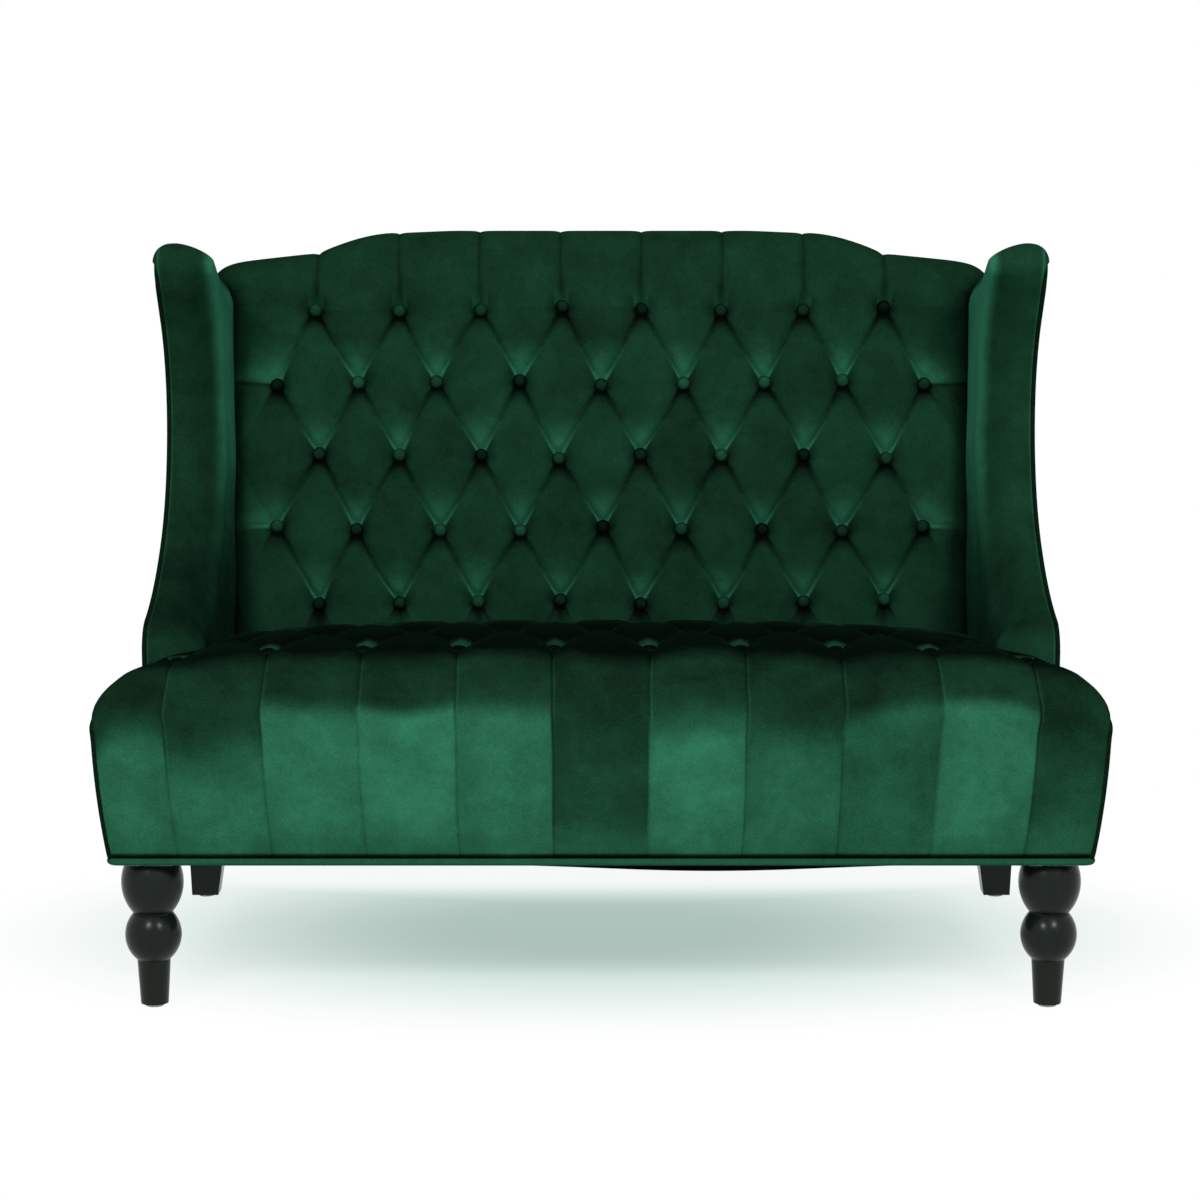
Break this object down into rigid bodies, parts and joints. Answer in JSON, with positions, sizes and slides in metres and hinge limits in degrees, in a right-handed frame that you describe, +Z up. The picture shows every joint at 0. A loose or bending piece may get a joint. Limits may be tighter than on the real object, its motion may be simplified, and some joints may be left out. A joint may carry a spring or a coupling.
{
  "type": "tufted loveseat",
  "caption": "Two-place upholstered seat with a button-tufted seat and raised back between swept wings, on turned front legs and raked rear legs.",
  "frame": {"origin": "on the floor under the middle of the object's bounding box", "axes": "+X to the right as seen from the front, -Y out of the front, +Z up"},
  "size_m": [1.2538, 0.7298, 0.965],
  "materials": {
    "green_velvet": "emerald velvet with a short nap",
    "green_velvet_button": "emerald velvet over a button mould",
    "green_velvet_welt": "emerald velvet over a welt cord",
    "black_lacquered_wood": "black satin lacquer on turned wood",
    "nylon_glide": "pale nylon",
    "frame_beech": "plain sawn hardwood",
    "zinc_steel": "zinc-plated steel",
    "polyurethane_foam": "cut foam",
    "jute_cloth": "woven jute",
    "black_cambric": "black non-woven cloth"
  },
  "bodies": {
    "root": {"back_buttons": "green_velvet_button", "back_cover": "green_velvet", "back_foam": "polyurethane_foam", "back_hessian": "jute_cloth", "back_post_left": "frame_beech", "back_post_right": "frame_beech", "back_stiles": "frame_beech", "back_webbing": "jute_cloth", "base_welt_front": "green_velvet_welt", "base_welt_left": "green_velvet_welt", "base_welt_rear": "green_velvet_welt", "base_welt_right": "green_velvet_welt", "corner_blocks": "frame_beech", "crest_rail": "frame_beech", "dust_cover": "black_cambric", "foot_glides": "nylon_glide", "frame_screws": "zinc_steel", "front_edge_welt_left": "green_velvet_welt", "front_edge_welt_right": "green_velvet_welt", "front_leg_left": "black_lacquered_wood", "front_leg_right": "black_lacquered_wood", "front_leg_studs": "zinc_steel", "front_seat_rail": "frame_beech", "leg_plates": "zinc_steel", "lower_back_rail": "frame_beech", "outside_back": "green_velvet", "rear_leg_left": "black_lacquered_wood", "rear_leg_right": "black_lacquered_wood", "rear_leg_studs": "zinc_steel", "rear_seat_rail": "frame_beech", "seat_buttons": "green_velvet_button", "seat_cover": "green_velvet", "seat_deck": "jute_cloth", "seat_foam": "polyurethane_foam", "seat_springs": "zinc_steel", "seat_stretcher": "frame_beech", "side_panel_left": "green_velvet", "side_panel_right": "green_velvet", "side_rail_left": "frame_beech", "side_rail_right": "frame_beech", "spring_clips": "zinc_steel", "wing_frame_left": "frame_beech", "wing_frame_right": "frame_beech", "wing_pad_left": "green_velvet", "wing_pad_right": "green_velvet", "wing_welt_left": "green_velvet_welt", "wing_welt_right": "green_velvet_welt"}
  },
  "joints": []
}
